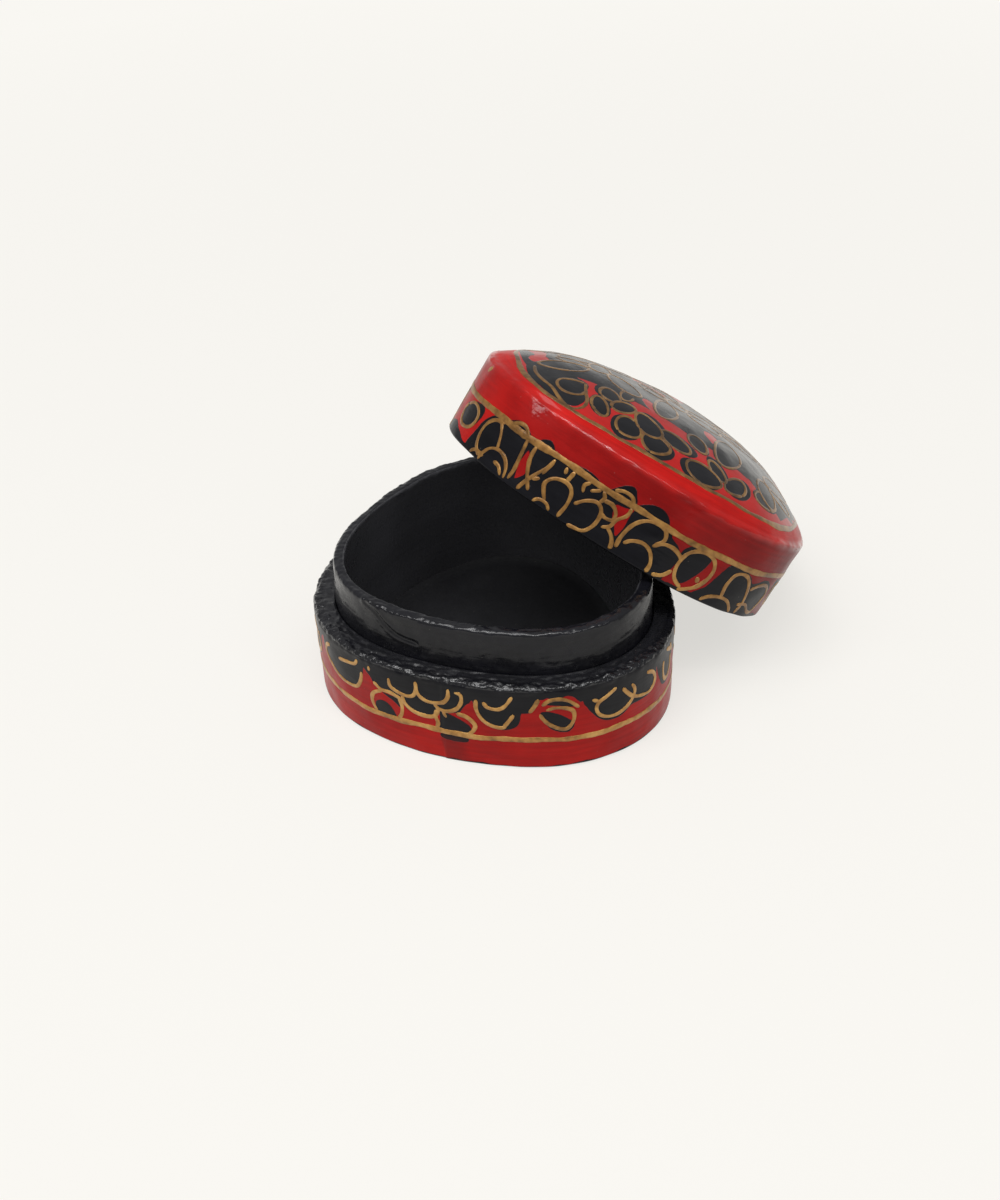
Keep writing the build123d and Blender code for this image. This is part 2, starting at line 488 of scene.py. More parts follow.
class Motif:
    """Patches of black ground and bronze strokes, drawn round a middle place along the band."""

    def __init__(self, middle, grounds, strokes):
        self.middle, self.grounds, self.strokes = middle, grounds, strokes

    def placed(self, at, first, mirrored=False, bend=0.0):
        """Its smooth grounds and strokes at a place past the band's first, mirrored or bent a little."""
        def move(places):
            """Places of the motif, set down along the band."""
            x, y = np.array(places, float).T
            x = (self.middle - x) if mirrored else (x - self.middle)
            x = x + bend * 0.5 * np.sin(y * 0.7 + at)
            y = y + bend * 0.4 * np.sin(x * 0.8 + at) * (y < 15)
            return np.stack([x + at + first, y], -1)
        grounds = [smooth_path(move(places), True, 0.5) for places in self.grounds]
        return grounds, [smooth_path(move(places)) for places in self.strokes]


BASE_MOTIFS = {
    "wide petal": Motif(28.0, [
        [(21.0, 18), (34.6, 18), (34.3, 16.0), (33.8, 13.5), (32.8, 10.9), (30.9, 9.5), (28, 9.4), (25, 10.1),
         (22.6, 11.3), (21.3, 13.0), (21.2, 15.5)],
    ], [
        [(33.6, 14.2), (33.1, 12.1), (32.0, 10.3), (30, 9.7), (27, 9.8), (24.5, 10.6), (22.6, 11.8),
         (21.9, 13.2), (22.6, 14.7), (23.9, 15.4)],
        [(27.1, 14.2), (29.5, 14.7), (31.8, 15.3), (32.7, 16.6)],
        [(35.6, 15.5), (35.6, 16.5)],
    ]),
    "petal cluster": Motif(46.0, [
        [(34.6, 18), (35.9, 14.0), (36.4, 13.2), (38.5, 12.4), (42.3, 11.9), (43.0, 10.0), (44.6, 9.0),
         (47.0, 8.7), (49.0, 9.4), (50.1, 11.0), (53.6, 11.4), (55.0, 13.3), (56.4, 15.0), (56.6, 18)],
        [(36.5, 7.0), (36.5, 8.7), (37.7, 9.7), (39.4, 9.5), (40.5, 8.2), (41.0, 6.6), (38.6, 6.0)],
        [(38.3, 11.6), (40.4, 11.6), (42.2, 11.2), (42.0, 9.4), (40.6, 10.5)],
        [(49.8, 6.4), (50.0, 9.0), (50.2, 11.2), (52.4, 10.6), (54.9, 9.5), (56.0, 8.3), (55.3, 6.4)],
        [(50.0, 5.9), (52.6, 5.9), (55.2, 6.0), (55.2, 4.9), (52.6, 4.7), (50.2, 5.0)],
    ], [
        [(36.4, 13.3), (38.0, 12.2), (40.0, 12.2), (42.3, 11.5)],
        [(38.2, 12.0), (36.3, 10.8), (35.6, 9.1), (36.0, 7.5), (36.7, 6.7)],
        [(41.9, 11.6), (42.4, 9.8), (42.2, 8.0), (41.5, 6.8)],
        [(53.3, 11.2), (55.3, 10.8), (56.7, 9.3), (56.4, 7.9), (55.4, 6.8)],
        [(49.3, 11.0), (49.2, 9.4), (49.6, 8.2), (49.3, 6.8)],
        [(50.6, 11.3), (51.3, 9.8)],
        [(42.6, 12.4), (43.0, 10.8), (44.5, 9.5), (46.5, 9.1), (48.5, 9.3), (49.7, 10.5), (49.6, 12.0)],
        [(53.2, 15.9), (54.3, 15.7), (54.4, 14.1), (53.5, 12.4), (52.0, 11.4), (50.2, 11.3), (49.0, 12.3)],
        [(45.6, 16.2), (45.9, 13.9), (47.3, 12.7), (49.3, 12.6), (51.0, 13.3), (51.9, 14.7), (52.0, 16.4)],
        [(40.0, 15.5), (40.2, 13.8), (41.5, 13.0), (43.5, 12.6), (45.0, 13.2), (45.6, 14.8), (45.6, 16.4)],
    ]),
    "double arc": Motif(61.0, [
        [(56.4, 18), (56.5, 15.0), (57.0, 12.9), (58.0, 10.6), (60.0, 9.1), (62.4, 8.9), (64.4, 9.8),
         (65.1, 11.6), (65.3, 12.9), (66.6, 12.9), (67.2, 14.4), (67.6, 18)],
    ], [
        [(57.2, 15.2), (57.1, 13.2), (57.8, 11.3), (59.2, 9.9), (61.2, 9.3), (62.5, 9.6)],
        [(62.0, 9.5), (63.1, 11.1), (63.9, 12.5)],
        [(58.5, 14.9), (59.2, 13.8), (61.0, 13.5), (62.4, 14.4), (63.7, 16.5)],
        [(66.7, 13.0), (67.6, 14.4), (68.4, 16.0)],
    ]),
    "leaf": Motif(72.0, [
        [(66.4, 18), (66.9, 14.6), (68.0, 14.9), (69.0, 16.4), (71.5, 16.6), (74.4, 16.0), (76.2, 14.4),
         (76.8, 18)],
        [(69.0, 14.9), (70.2, 15.8), (72.2, 15.9), (74.0, 15.1), (74.9, 13.7), (73.2, 14.0), (71.0, 14.4)],
        [(68.6, 12.9), (70.4, 13.0), (72.2, 12.2), (73.8, 11.0), (74.9, 9.8), (74.0, 8.2), (72.0, 8.3),
         (70.0, 9.7)],
    ], [
        [(69.0, 14.5), (70.2, 15.5), (72.2, 15.7), (74.0, 14.9), (75.7, 13.3)],
        [(69.7, 13.4), (71.2, 13.8), (73.0, 13.6), (74.5, 12.8), (74.8, 11.2), (74.3, 9.7), (73.3, 8.8),
         (71.9, 9.1), (70.2, 10.2), (69.1, 11.5), (68.6, 12.6)],
    ]),
    "twin petals": Motif(86.0, [
        [(76.0, 18), (76.4, 14.4), (77.2, 12.8), (78.4, 11.0), (79.9, 9.4), (82.0, 8.5), (84.5, 8.8),
         (86.3, 10.0), (88.0, 10.0), (91.0, 10.1), (92.8, 11.4), (93.3, 13.4), (93.0, 15.4), (93.0, 18)],
    ], [
        [(78.2, 14.3), (79.4, 13.6)],
        [(83.0, 15.5), (81.0, 14.3), (79.5, 13.4), (79.0, 12.0), (79.8, 10.4), (81.8, 9.4), (84.0, 9.5),
         (86.0, 10.6), (87.1, 12.2), (87.1, 13.6), (86.4, 14.8)],
        [(84.4, 14.7), (85.5, 13.2), (86.9, 11.8), (89.0, 10.9), (91.2, 10.6), (92.6, 11.5), (92.9, 13.0),
         (91.9, 14.6), (90.2, 15.5)],
    ]),
    "small petal": Motif(97.3, [
        [(93.0, 18), (93.4, 14.6), (94.6, 11.2), (96.0, 9.1), (98.3, 8.7), (100.0, 10.2), (100.9, 13.0),
         (101.2, 18)],
    ], [
        [(96.2, 14.2), (96.2, 11.8), (96.9, 9.9), (98.4, 9.5), (99.8, 11.0), (100.1, 13.4)],
        [(97.4, 16.2), (99.0, 15.2), (100.2, 14.4)],
    ]),
}
LID_MOTIFS = {
    "ring": Motif(16.2, [
        [(12.6, 6.6), (14.4, 7.6), (17.0, 8.5), (19.8, 8.5), (20.3, 6.8), (19.2, 4.5), (17.0, 3.4),
         (14.4, 3.5), (12.6, 4.8)],
    ], [
        [(13.6, 6.9), (15.4, 7.8), (17.4, 7.7), (18.8, 6.8), (19.1, 5.4), (18.4, 4.0), (16.8, 3.2),
         (14.6, 3.1), (13.0, 4.0), (12.6, 5.6), (13.4, 6.8)],
    ]),
    "bud": Motif(27.5, [
        [(20.6, -0.5), (20.8, 5.0), (22.0, 7.6), (24.2, 9.2), (28, 9.6), (33.2, 9.4), (33.3, 5),
         (33.0, -0.5)],
        [(26.0, 9.0), (27.4, 10.1), (29.6, 11.1), (31.6, 10.6), (33.0, 9.0)],
        [(34.3, 9.2), (34.9, 10.6), (36.2, 11.3), (37.4, 10.9), (38.4, 9.2)],
    ], [
        [(26.4, 8.7), (24.2, 8.3), (22.6, 6.8), (22.1, 4.6), (22.8, 2.3), (24.5, 0.9)],
        [(25.5, 8.8), (26.9, 6.8), (27.9, 4.0)],
        [(21.4, -0.2), (23.2, 1.4), (25.7, 1.4)],
        [(25.0, -0.2), (25.1, 1.5), (26.3, 3.4), (28.3, 4.2), (30.3, 3.7), (31.6, 2.2), (32.1, 0.2)],
        [(28.5, 2.0), (30.0, 1.8), (31.2, 0.6)],
        [(32.4, 9.2), (32.8, 6.0), (33.1, 3.0), (32.9, 1.0)],
        [(27.9, 9.6), (29.4, 10.6), (31.0, 10.6), (32.4, 9.2)],
    ]),
    "flower": Motif(44.5, [
        [(34.5, 9.4), (34.6, 6.4), (35.4, 3.6), (34.6, -0.5), (55.5, -0.5), (54.6, 4.0), (53.0, 6.0),
         (52.4, 8.1), (54.0, 8.4), (54.6, 9.4)],
        [(41.4, 9.4), (43.0, 10.3), (45.6, 10.6), (47.6, 10.2), (48.6, 9.4)],
        [(50.4, 9.4), (51.4, 11.2), (52.6, 12.2), (53.8, 12.5), (54.8, 11.6), (55.5, 9.4)],
    ], [
        [(34.6, 8.9), (34.7, 6.6), (35.7, 4.0), (37.5, 1.4)],
        [(39.0, 8.9), (38.4, 7.0), (37.3, 4.8), (36.2, 2.6), (35.3, -0.1)],
        [(38.3, 4.5), (37.0, 3.6)],
        [(39.0, 8.6), (38.7, 7.0), (38.2, 5.4)],
        [(41.2, 1.5), (40.2, 2.8), (39.5, 4.3), (40.5, 5.9), (42.8, 6.6), (44.5, 5.7), (45.0, 3.4),
         (44.6, 0.4)],
        [(42.8, 6.7), (43.2, 9.0)],
        [(41.6, 9.0), (41.8, 7.7)],
        [(38.8, -0.2), (40.0, 1.2), (41.8, 1.3), (43.1, -0.1)],
        [(46.7, 9.0), (45.9, 8.0), (46.3, 6.7)],
        [(47.3, 7.7), (49.0, 8.8)],
        [(46.0, 4.1), (47.6, 5.8), (49.6, 6.6), (51.0, 5.4), (51.1, 3.0), (50.0, 0.9), (48.0, 0.4),
         (46.2, 0.2)],
        [(49.4, 9.0), (50.2, 7.9), (49.7, 6.7)],
        [(50.3, 7.6), (52.0, 7.7), (53.3, 6.7), (53.4, 5.3), (52.0, 5.0), (51.0, 5.4)],
        [(55.3, 9.0), (55.2, 7.4), (54.0, 5.7), (53.6, 4.1), (52.3, 3.2)],
        [(53.3, 3.8), (54.8, 2.7), (55.6, 1.2), (55.3, -0.1)],
        [(51.0, 10.2), (52.6, 10.9), (54.4, 10.7), (55.3, 9.2)],
    ]),
    "pair": Motif(61.2, [
        [(55.7, -0.5), (55.8, 5.0), (56.3, 9.4), (62.8, 9.4), (64.2, 8.2), (66.5, 7.0), (67.4, 5.0),
         (66.9, 2.2), (65.4, -0.5)],
        [(56.0, 9.4), (57.0, 10.9), (59.0, 11.7), (61.0, 11.5), (62.4, 9.6)],
    ], [
        [(56.4, 1.4), (56.3, 3.8), (57.0, 6.6), (58.6, 8.4), (60.8, 9.0), (62.6, 8.6), (63.3, 7.0),
         (62.2, 5.3)],
        [(57.2, 2.8), (58.4, 4.0), (60.4, 4.6), (62.2, 3.9), (63.4, 2.0), (63.4, 0.0)],
        [(62.0, 5.0), (63.4, 6.3), (65.4, 6.6), (67.2, 6.0), (67.8, 5.3)],
        [(67.5, 2.9), (66.4, 1.3), (64.6, 0.5), (64.2, 0.0)],
    ]),
    "tipped ring": Motif(71.2, [
        [(67.2, 7.2), (68.8, 8.9), (71.4, 9.3), (73.0, 8.3), (72.7, 5.9), (71.7, 3.6), (70.4, 1.7),
         (68.6, 1.6), (67.7, 4.0)],
    ], [
        [(70.6, 0.8), (68.6, 2.0), (67.8, 4.2), (68.2, 6.8), (69.6, 8.2), (71.6, 8.7), (73.6, 8.1),
         (74.6, 6.4), (74.4, 4.2), (73.2, 2.2), (71.4, 0.9), (70.2, 0.3)],
        [(72.5, 4.1), (73.0, 3.0)],
    ]),
    "shell": Motif(82.0, [
        [(73.6, -0.5), (75.2, 3.4), (76.2, 6.4), (77.4, 8.9), (80.0, 9.2), (83.2, 8.3), (84.7, 7.1),
         (86.2, 7.3), (88.6, 8.3), (91.0, 8.0), (92.9, 6.4), (93.1, 3.2), (91.7, 0.8), (90.0, -0.5)],
    ], [
        [(79.4, 2.5), (79.0, 5.0), (79.5, 7.2), (80.8, 8.0), (82.6, 7.9), (84.2, 6.6), (85.4, 4.6),
         (85.9, 2.4), (85.3, 0.1)],
        [(74.9, 0.0), (76.8, 1.6), (79.2, 2.4), (81.4, 2.2), (83.0, 1.1), (83.8, 0.0)],
        [(84.6, 2.2), (87.2, 2.6), (89.4, 1.3), (91.2, 1.3), (92.4, 3.2), (92.7, 5.4), (91.4, 6.8),
         (89.6, 7.3), (87.4, 6.8), (85.6, 5.7)],
    ]),
}
# Where motifs stand again beyond the seen side, and whether they are mirrored there
BASE_AGAIN = [
    (107.3, "double arc", True), (122.5, "petal cluster", True), (138.6, "leaf", True),
    (152.0, "twin petals", True), (163.3, "small petal", True), (174.6, "wide petal", True),
    (192.6, "petal cluster", False), (208.3, "double arc", True), (219.4, "leaf", False),
    (233.3, "twin petals", True),
]
LID_AGAIN = [
    (98.0, "ring", True), (109.6, "bud", True), (122.6, "pair", True), (139.5, "flower", True),
    (153.3, "tipped ring", True), (164.0, "shell", True), (178.6, "ring", False), (190.0, "bud", False),
    (203.0, "pair", False), (220.6, "flower", True),
]


def motifs_round(motifs, again, first):
    """Grounds and strokes of a whole band: the seen side as painted, the rest mirrored and bent a little."""
    sets = [motif.placed(motif.middle, first) for motif in motifs.values()]
    sets += [motifs[name].placed(at, first, mirrored, 1.0) for at, name, mirrored in again]
    grounds, strokes = zip(*sets)
    return sum(grounds, []), sum(strokes, [])


def ground_depth(grounds, x, y):
    """How deep each place lies inside the nearest patch of black ground."""
    return np.max([depth_in_ground(outline, x, y, PERIMETER) for outline in grounds], 0)


# Petals of the crown

# How far in from the outline the bronze oval runs, at angles round the crown in degrees
OVAL_ANGLES = [0, 40, 66, 71, 77, 84, 90, 98, 110, 124, 139, 158, 168, 190, 200, 260, 310, 360]
OVAL_INSETS = [3.2, 3.9, 3.9, 3.3, 2.4, 1.8, 1.6, 2.0, 2.6, 2.8, 3.1, 3.5, 2.9, 2.8, 3.3, 3.2, 3.0, 3.2]


def oval_inset(angle):
    """How far in the bronze oval runs at an angle: its list, smoothed over about ten degrees."""
    nearby = np.radians(np.linspace(-5, 5, 7))
    turned = np.degrees(np.mod(np.asarray(angle)[..., None] + nearby, 2 * np.pi))
    return np.interp(turned, OVAL_ANGLES, OVAL_INSETS).mean(-1)


def inside_oval(x, y):
    """True where a place on the crown is well inside the bronze oval."""
    angle = np.arctan2(y, x)
    return plan_radius(angle) - np.hypot(x, y) > oval_inset(angle) + 0.3


# Petals as x, y, half width, half height and turn, those painted first coming first
BLOOM_MIDDLE, BLOOM = (-11.6, 22.4), [
    (-2.8, 23.8, 2.4, 1.9, -10), (-6.8, 23.4, 1.7, 2.5, -14), (-11.6, 25.2, 2.7, 2.1, 8),
    (-16.4, 17.1, 3.4, 1.9, 30), (-16.4, 21.9, 2.9, 2.1, 32), (-11.9, 20.9, 3.2, 2.3, 8),
]
LEAVES_MIDDLE, LEAVES = (-24.2, 11.6), [
    (-26.5, 7.8, 3.1, 1.8, 106), (-23.2, 10.9, 2.6, 1.4, 12), (-23.9, 14.8, 4.0, 2.1, 50),
]
LONE_PETALS = [
    (-5.4, 27.8, 2.7, 1.45, -16), (-28.3, -0.2, 3.2, 1.9, 87), (-16.3, 11.2, 2.8, 1.9, -16),
    (-3.0, 19.6, 2.5, 1.3, 132), (-17.9, 3.6, 5.9, 2.9, 129), (-5.4, 10.6, 6.0, 2.5, 130),
]
# The large bloom under the oval's corner: its ground, then its strokes
GREAT_GROUND = smooth_path([
    (-4.4, 31.6), (-4.0, 32.9), (-2.4, 33.8), (-0.6, 34.5), (1.5, 34.9), (3.7, 35.0), (6.2, 34.7),
    (8.0, 34.1), (9.6, 33.3), (11.6, 31.9), (13.0, 30.0), (9.6, 29.2), (6.0, 28.0), (3.4, 26.8),
    (0.6, 26.4), (-1.4, 28.3), (-3.4, 29.6),
], True)
GREAT_STROKES = [
    [(1.2, 26.6), (-1.4, 28.3), (-3.6, 29.4), (-5.0, 31.0), (-4.7, 32.9), (-2.8, 33.7), (-0.8, 33.7),
     (1.6, 33.4), (5.0, 33.4), (8.0, 32.6), (10.4, 31.1)],
    [(-1.0, 27.7), (-1.7, 29.6), (-1.0, 31.3), (0.8, 32.2), (2.8, 31.8), (3.8, 30.2), (3.0, 28.0),
     (1.4, 26.7)],
]
# The way from the crown's middle to the corner painted finest, in degrees
FINE_CORNER = 128.0


def toward_corner(x, y):
    """How far places lie from the crown's middle towards its fine corner."""
    return x * np.cos(np.radians(FINE_CORNER)) + y * np.sin(np.radians(FINE_CORNER))


def middle_ground(x, y):
    """How deep places lie in the black that fills the crown beyond its fine corner, with gaps of red left."""
    beyond = 17.8 - toward_corner(x, y) + 1.6 * np.sin(0.35 * (x - y) + 2.5)
    patches = 0.85 + 1.5 * hand_wave(np.stack([x, y, 0 * x], -1), 8, 91)
    inside = plan_radius(np.arctan2(y, x)) - np.hypot(x, y) - 4.4 + 0.5 * np.sin(0.5 * x + 0.7 * y)
    return np.minimum(np.minimum(patches, beyond), inside)


def moved_petals(petals, middle, x, y, turn=0.0, size=1.0):
    """A group of petals turned about its middle and set down elsewhere, each shaded on its outer side."""
    c, s = np.cos(np.radians(turn)), np.sin(np.radians(turn))
    made = []
    for px, py, w, h, own_turn in petals:
        dx, dy = size * (px - middle[0]), size * (py - middle[1])
        out_x, out_y = dx * c - dy * s, dx * s + dy * c
        reach = np.hypot(dx, dy) + 0.5
        shade = (PETAL_SHADE * out_x / reach, PETAL_SHADE * out_y / reach)
        made.append(Petal(x + out_x, y + out_y, size * w, size * h, own_turn + turn, shade))
    return made


# What the crown's open places are filled with: petals, their middle, the room they take and two sizes
FILLING = [
    (BLOOM, BLOOM_MIDDLE, 7.0, 1.15, 1.35), (LEAVES, LEAVES_MIDDLE, 5.0, 1.1, 1.4),
    ([(0, 0, 4.8, 2.7, 0)], (0, 0), 4.4, 0.9, 1.1), ([(0, 0, 3.2, 2.0, 0)], (0, 0), 2.9, 0.8, 1.1),
]
FILLING_TRIES, CROWN_REACH = 900, 31


def crown_petals():
    """The crown's petals: the fine corner as painted, then larger groups turned to fill the oval."""
    draw = np.random.default_rng(13)
    petals = moved_petals(LEAVES, LEAVES_MIDDLE, *LEAVES_MIDDLE)
    petals += moved_petals(BLOOM, BLOOM_MIDDLE, *BLOOM_MIDDLE)
    taken = [(*LEAVES_MIDDLE, 5.6), (*BLOOM_MIDDLE, 7.0), (2.5, 30.3, 5.5), (9.5, 31.0, 3.5)]
    for leaf in LONE_PETALS:
        petals += moved_petals([leaf], leaf[:2], *leaf[:2])
        taken.append((*leaf[:2], 0.8 * leaf[2]))
    for group, middle, around, least, most in FILLING:
        for _ in range(FILLING_TRIES):
            reach = CROWN_REACH * np.sqrt(draw.uniform())
            heading = draw.uniform(0, 2 * np.pi)
            x, y = reach * np.cos(heading), reach * np.sin(heading)
            size = draw.uniform(least, most)
            room = plan_radius(np.arctan2(y, x)) - np.hypot(x, y) - oval_inset(np.array(heading))
            apart = min([np.hypot(x - a, y - b) - c for a, b, c in taken])
            off_great = depth_in_ground(GREAT_GROUND, np.array([x]), np.array([y]))[0] < -1.5
            away = toward_corner(x, y) < 16
            if room > 0.86 * around * size and apart > 0.80 * around * size and off_great and away:
                petals += moved_petals(group, middle, x, y, draw.uniform(0, 360), size)
                taken.append((x, y, around * size))
    return petals


# Materials

VARNISH_IOR = 1.45
# Inside field of the floor and the ledge: a little of the inside's painted light, a lifted grey, with the
# board's lumps calmed
CALM_BLACK = 0.12


def paint(code):
    """Linear colour of an sRGB hex value."""
    parts = [int(code[i:i + 2], 16) / 255 for i in (1, 3, 5)]
    return [p / 12.92 if p <= 0.04045 else ((p + 0.055) / 1.055) ** 2.4 for p in parts] + [1.0]


def add(tree, kind, inputs=(), **settings):
    """Adds a shader node: settings are its properties, inputs its values or links, by name or in order.

    A link is given as a socket or as a node, which stands for its first output, or a mix's colour.
    """
    made = tree.nodes.new("ShaderNode" + kind)
    for key, value in settings.items():
        setattr(made, key, value)
    for key, value in inputs.items() if isinstance(inputs, dict) else enumerate(inputs):
        if isinstance(value, bpy.types.Node):
            value = value.outputs[2 if value.bl_idname == "ShaderNodeMix" else 0]
        if isinstance(value, bpy.types.NodeSocket):
            tree.links.new(value, made.inputs[key])
        else:
            made.inputs[key].default_value = value
    return made


def new_material(name):
    """An empty material, its tree and the place on the object in metres."""
    made = bpy.data.materials.new(name)
    made.use_nodes = True
    made.node_tree.nodes.clear()
    return made, made.node_tree, add(made.node_tree, "TexCoord").outputs["Object"]


def per_size(millimetres):
    """Scale of a noise whose features are this large."""
    return 1 / (millimetres * MM)


def lacquer_sheet(tree, place, dark, bright):
    """Colour of brushed lacquer: slow changes of shade and brush streaks, between a dark and a bright.

    The streaks are 1 mm wide and 16 mm long and run the way the piece was brushed.
    """
    slow = add(tree, "TexNoise", {"Vector": place, "Scale": per_size(9), "Detail": 3.0})
    brushed = add(tree, "Attribute", attribute_name="brushed").outputs["Vector"]
    stretched = add(tree, "Mapping", {"Vector": brushed, "Scale": (1 / 16, 1 / 16, 1)})
    streak = add(tree, "TexNoise", {"Vector": stretched, "Scale": 1.0, "Detail": 4.0, "Roughness": 0.7})
    both = add(tree, "Math", [slow, streak], operation="ADD")
    spread = add(tree, "MapRange", [both, 0.75, 1.25])
    return add(tree, "Mix", {"Factor": spread, 6: paint(dark), 7: paint(bright)}, data_type="RGBA")


def with_motes(tree, place, colour, apart, radius, share, dust):
    """Colour with a share of dust in small motes under the varnish: mm apart, radius as a part of that."""
    near = add(tree, "TexVoronoi", {"Vector": place, "Scale": per_size(apart), "Randomness": 1.0})
    mote = add(tree, "MapRange", [near, radius, 0.03, 0.0, share])
    return add(tree, "Mix", {"Factor": mote, 6: colour, 7: paint(dust)}, data_type="RGBA")


def varnished(tree, colour, normal, gloss, coat, coat_rough, specular, pools_to):
    """Ends a material with its shader: paint under brushed varnish, with the fine grooves the brush left.

    The grooves are 0.5 mm apart across the band, 8 mm long and 0.05 mm deep. The varnish is clear and
    lies thicker, up to the weight it pools to, where the piece's own pooled field is 1.
    """
    brushed = add(tree, "Attribute", attribute_name="brushed").outputs["Vector"]
    stretched = add(tree, "Mapping", {"Vector": brushed, "Scale": (1 / 8, 1 / 8, 1 / 0.5)})
    grooves = add(tree, "TexNoise", {"Vector": stretched, "Scale": 1.0, "Detail": 2.0})
    grooved = add(tree, "Bump", {"Height": grooves, "Strength": 0.5, "Distance": 0.05 * MM, "Normal": normal})
    if pools_to:
        pooled = add(tree, "Attribute", attribute_name="pooled").outputs["Fac"]
        coat = add(tree, "Math", [pooled, pools_to - coat, coat], operation="MULTIPLY_ADD")
    shader = add(tree, "BsdfPrincipled", {
        "Base Color": colour, "Normal": grooved, "Roughness": gloss, "Specular IOR Level": specular,
        "IOR": VARNISH_IOR, "Coat IOR": VARNISH_IOR, "Coat Normal": grooved, "Coat Weight": coat,
        "Coat Roughness": coat_rough})
    add(tree, "OutputMaterial", {"Surface": shader})


def painted_lacquer(name, dark, bright, coat, coat_rough, pools_to=None):
    """Red gouache over pulp board with black petals, under amber-clear varnish: glossy, a little wavy.

    The varnish is brushed by hand, so its gloss breaks up over a few millimetres. The black paint's depth
    comes from the piece's own black field, and its edge stands a few hundredths of a millimetre proud.
    Where the piece's painted shade field is above 0 a darker red is mixed in: painted shade.
    """
    made, tree, place = new_material(name)
    painted_shade, depth, lap = (add(tree, "Attribute", attribute_name=field).outputs["Fac"]
                          for field in ("painted_shade", "black", "lap"))
    bright_red = lacquer_sheet(tree, place, dark, bright)
    # Painted shade: a darker copy of the red, for the lid's side under the arris
    shaded_red = lacquer_sheet(tree, place, "#7E0C0C", "#9C1110")
    red = add(tree, "Mix", {"Factor": painted_shade, 6: bright_red, 7: shaded_red}, data_type="RGBA")
    rag = add(tree, "TexNoise", {"Vector": place, "Scale": per_size(0.9), "Detail": 2.0})
    ragged = add(tree, "Math", [rag, 0.22, depth], operation="MULTIPLY_ADD")
    cover = add(tree, "MapRange", [ragged, 0.07, 0.15], interpolation_type="SMOOTHSTEP")
    black = lacquer_sheet(tree, place, "#0B0B0F", "#15151A")
    ground = add(tree, "Mix", {"Factor": cover, 6: red, 7: black}, data_type="RGBA")
    worn = add(tree, "Math", [lap, 0.45], operation="MULTIPLY")
    mended = add(tree, "Mix", {"Factor": worn, 6: ground, 7: paint("#5A1210")}, data_type="RGBA")
    colour = with_motes(tree, place, mended, 2.6, 0.055, 0.22, "#8A7F78")
    pool = add(tree, "TexNoise", {"Vector": place, "Scale": per_size(3.2), "Detail": 2.5})
    grit = add(tree, "TexNoise", {"Vector": place, "Scale": per_size(0.5), "Detail": 2.0})
    normal = add(tree, "Bump", {"Height": pool, "Strength": 0.35, "Distance": 0.25 * MM})
    for height, strength, rise in ((cover, 0.6, 0.06), (grit, 0.25, 0.03)):
        normal = add(tree, "Bump", {"Height": height, "Strength": strength, "Distance": rise * MM,
                                    "Normal": normal})
    gloss = add(tree, "MapRange", [pool, 0.35, 0.7, 0.34, 0.5])
    varnished(tree, colour, normal, gloss, coat, coat_rough, 0.1, pools_to)
    return made


def black_lacquer(name, dark, bright, gloss_range, lumps, coat, coat_rough, pools_to=None):
    """Black lacquer brushed on pulp board: deep black, glossy, with the board's fibres showing as fine grit.

    Lumps are their size, depth in mm, strength and detail. Where the piece's own inside field is 1 the face
    looks into the box: there the black is painted a shade greyer, painted light that lifts the shade inside
    the box, and its lumps are calmer.
    """
    made, tree, place = new_material(name)
    inside = add(tree, "Attribute", attribute_name="inside").outputs["Fac"]
    seen = lacquer_sheet(tree, place, dark, bright)
    # Painted light: a greyer black for faces that look into the box, lifting their shade
    painted_light_inside = lacquer_sheet(tree, place, "#3F3F42", "#444447")
    black = add(tree, "Mix", {"Factor": inside, 6: seen, 7: painted_light_inside}, data_type="RGBA")
    colour = with_motes(tree, place, black, 2.2, 0.05, 0.4, "#77736E")
    size, depth, strength, detail = lumps
    lump = add(tree, "TexNoise", {"Vector": place, "Scale": per_size(size), "Detail": detail,
                                  "Roughness": 0.6})
    calm = add(tree, "MapRange", [inside, 0.0, CALM_BLACK, strength, 0.12])
    normal = add(tree, "Bump", {"Height": lump, "Strength": calm, "Distance": depth * MM})
    gloss = add(tree, "MapRange", [lump, 0.35, 0.65, *gloss_range])
    varnished(tree, colour, normal, gloss, coat, coat_rough, 0.2, pools_to)
    return made


def bronze_paint(name, thin, middle, thick, coat, coat_rough):
    """Bronze powder in gum, brushed on: ochre with a soft metal glint, thin in places, under varnish."""
    made, tree, place = new_material(name)
    worn = add(tree, "TexNoise", {"Vector": place, "Scale": per_size(1.3), "Detail": 4.0})
    slow = add(tree, "TexNoise", {"Vector": place, "Scale": per_size(7), "Detail": 1.0})
    both = add(tree, "Math", [worn, slow], operation="ADD")
    spread = add(tree, "MapRange", [both, 0.7, 1.3])
    ramp = add(tree, "ValToRGB", [spread])
    ramp.color_ramp.elements[0].color = paint(thin)
    ramp.color_ramp.elements[1].color = paint(thick)
    ramp.color_ramp.elements.new(0.45).color = paint(middle)
    grain = add(tree, "TexNoise", {"Vector": place, "Scale": per_size(0.35), "Detail": 2.0})
    normal = add(tree, "Bump", {"Height": grain, "Strength": 0.5, "Distance": 0.04 * MM})
    shader = add(tree, "BsdfPrincipled", {
        "Base Color": ramp, "Normal": normal, "Metallic": 0.5, "Roughness": 0.45, "Coat Weight": coat,
        "Coat Roughness": coat_rough})
    add(tree, "OutputMaterial", {"Surface": shader})
    return made


